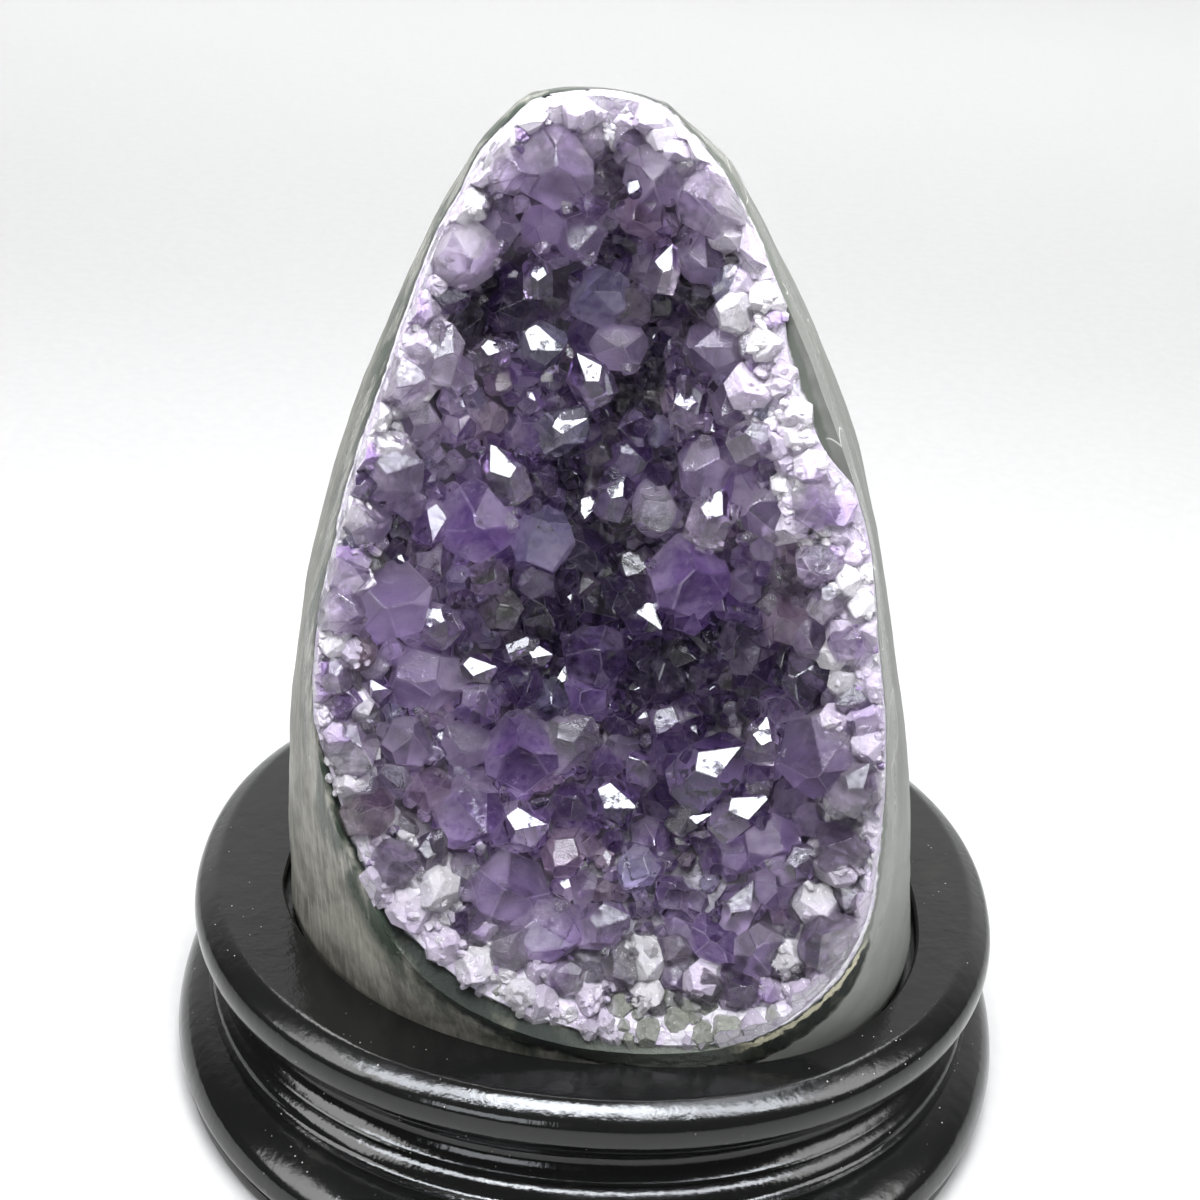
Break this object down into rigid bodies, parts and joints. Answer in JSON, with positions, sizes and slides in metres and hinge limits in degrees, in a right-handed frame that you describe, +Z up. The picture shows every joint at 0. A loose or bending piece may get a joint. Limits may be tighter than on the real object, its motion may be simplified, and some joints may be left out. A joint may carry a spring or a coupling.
{
  "type": "amethyst cluster",
  "caption": "Freestanding amethyst geode piece, its hollow face lined with violet quartz crystals, standing in the fitted pocket of a black lacquered wooden stand",
  "frame": {"origin": "middle of the stand's underside, on the surface it stands on", "axes": "+Z up, the crystal-lined hollow opens towards -Y, +X to the viewer's right"},
  "size_m": [0.1454, 0.15, 0.1705],
  "materials": {
    "lacquered_wood": "gloss",
    "basalt": "satin",
    "amethyst": "gloss"
  },
  "bodies": {
    "root": {"stand": "lacquered_wood", "rock_matrix": "basalt", "crystal_druse": "amethyst"}
  },
  "joints": []
}
